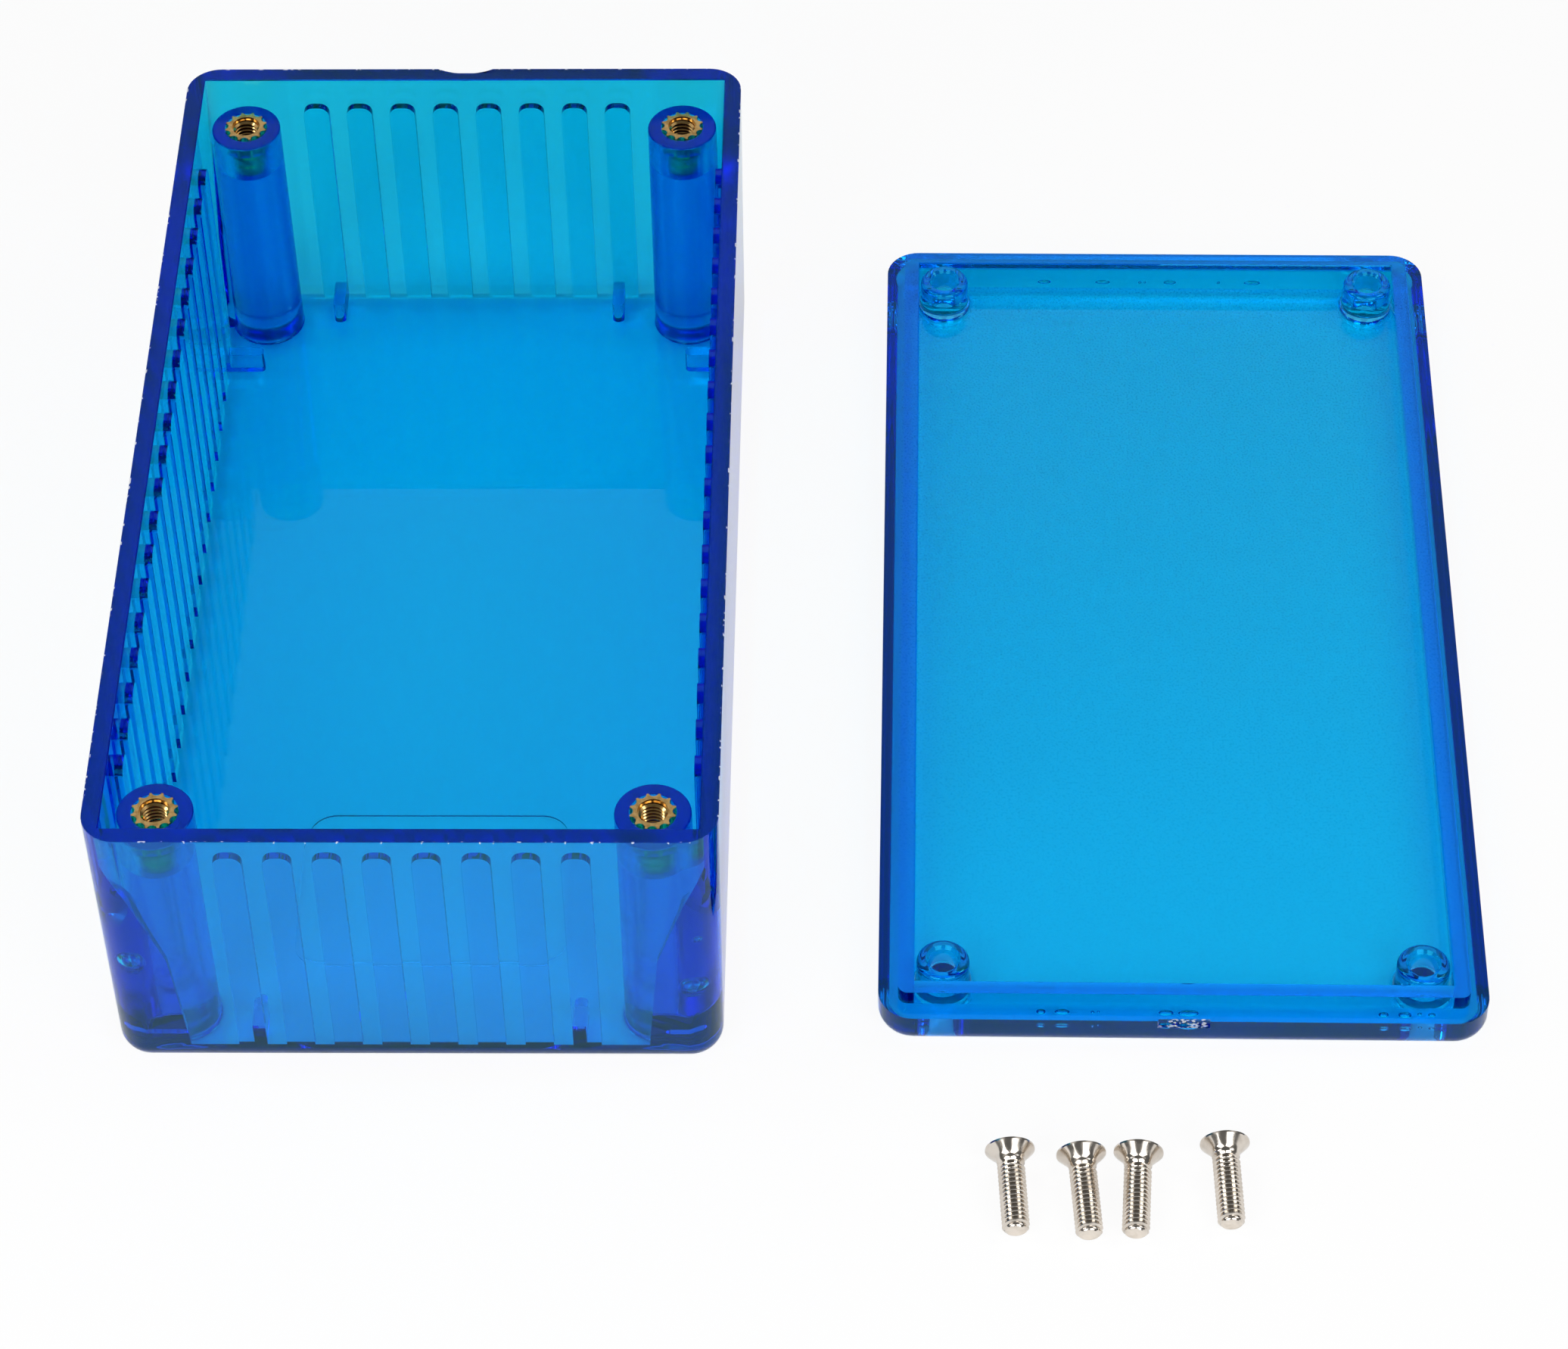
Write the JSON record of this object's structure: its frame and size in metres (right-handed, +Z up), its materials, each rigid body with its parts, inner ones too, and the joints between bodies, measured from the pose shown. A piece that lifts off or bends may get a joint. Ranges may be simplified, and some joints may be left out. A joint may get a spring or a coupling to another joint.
{
  "type": "polycarbonate enclosure",
  "caption": "Clear blue polycarbonate instrument case with board ribs on its walls, brass thread inserts in corner bosses, and a lipped lid and countersunk screws lying beside it.",
  "frame": {"origin": "middle of the case's underside, which stands on the surface", "axes": "+Z up out of the case's mouth, +Y along the case towards its rear wall, +X across the case towards the lid"},
  "size_m": [0.1472, 0.1461, 0.0365],
  "materials": {
    "clear_blue": "clear, glossy, tinted blue",
    "brass": "bright turned",
    "nickel": "bright nickel plate"
  },
  "bodies": {
    "root": {"case": "clear_blue", "lid": "clear_blue", "insert_rear_left": "brass", "insert_rear_right": "brass", "insert_front_left": "brass", "insert_front_right": "brass", "lid_screws": "nickel"}
  },
  "joints": []
}
